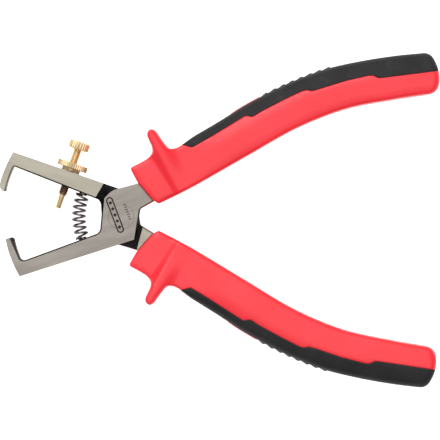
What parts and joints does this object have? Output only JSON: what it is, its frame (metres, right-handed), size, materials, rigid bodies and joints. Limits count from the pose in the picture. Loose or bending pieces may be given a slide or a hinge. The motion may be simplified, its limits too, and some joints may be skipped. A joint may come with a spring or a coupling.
{
  "type": "wire stripper",
  "caption": "End wire stripper plier with lap-jointed hooked jaws, an opening spring, a brass depth screw with lock nut and two-colour grips.",
  "frame": {"origin": "on the pivot axis, in the plane of the back face of the head", "axes": "+Z along the pivot axis towards the front face of the head, +X along the tool towards the handles, +Y towards the jaw that carries the adjusting screw"},
  "size_m": [0.1502, 0.1146, 0.0196],
  "materials": {
    "steel": "ground and brushed flats, dark forged recesses",
    "spring_steel": "dark oiled spring wire",
    "brass": "turned and knurled",
    "red_plastic": "semi-gloss moulded",
    "black_rubber": "soft matt moulded"
  },
  "bodies": {
    "front": {"front_lever": "steel", "pivot_rivet": "steel", "lower_spring_pin": "steel", "opening_spring": "spring_steel", "upper_grip_body": "red_plastic", "upper_grip_insert": "black_rubber"},
    "back": {"back_lever": "steel", "upper_spring_pin": "steel", "lower_grip_body": "red_plastic", "lower_grip_insert": "black_rubber"},
    "screw_stem": {"adjusting_screw": "brass"},
    "screw_knob": {"screw_head": "brass"},
    "nut": {"lock_nut": "brass"}
  },
  "joints": [
    {"name": "jaw_pivot", "type": "hinge", "parent": "front", "child": "back", "pos_m": [0, 0, 0.0045], "axis": [0, 0, 1], "range_deg": [-12, 32], "stiffness_Nm_per_rad": 1, "deforming": ["opening_spring"]},
    {"name": "screw_slide", "type": "slide", "parent": "back", "child": "screw_stem", "axis": [0.3165, 0.9486, 0], "range_m": [-0.0006, 0.003]},
    {"name": "head_turn", "type": "hinge", "parent": "screw_stem", "child": "screw_knob", "pos_m": [-0.0148, 0.02388, 0.0045], "axis": [0.3165, 0.9486, 0], "range_deg": [-432, 2160]},
    {"name": "nut_turn", "type": "hinge", "parent": "back", "child": "nut", "pos_m": [-0.01724, 0.01658, 0.0045], "axis": [0.3165, 0.9486, 0], "range_deg": [0, 360]}
  ],
  "couplings": [
    {"joint": "head_turn", "follows": "screw_slide", "rad_per_m": 12566}
  ]
}
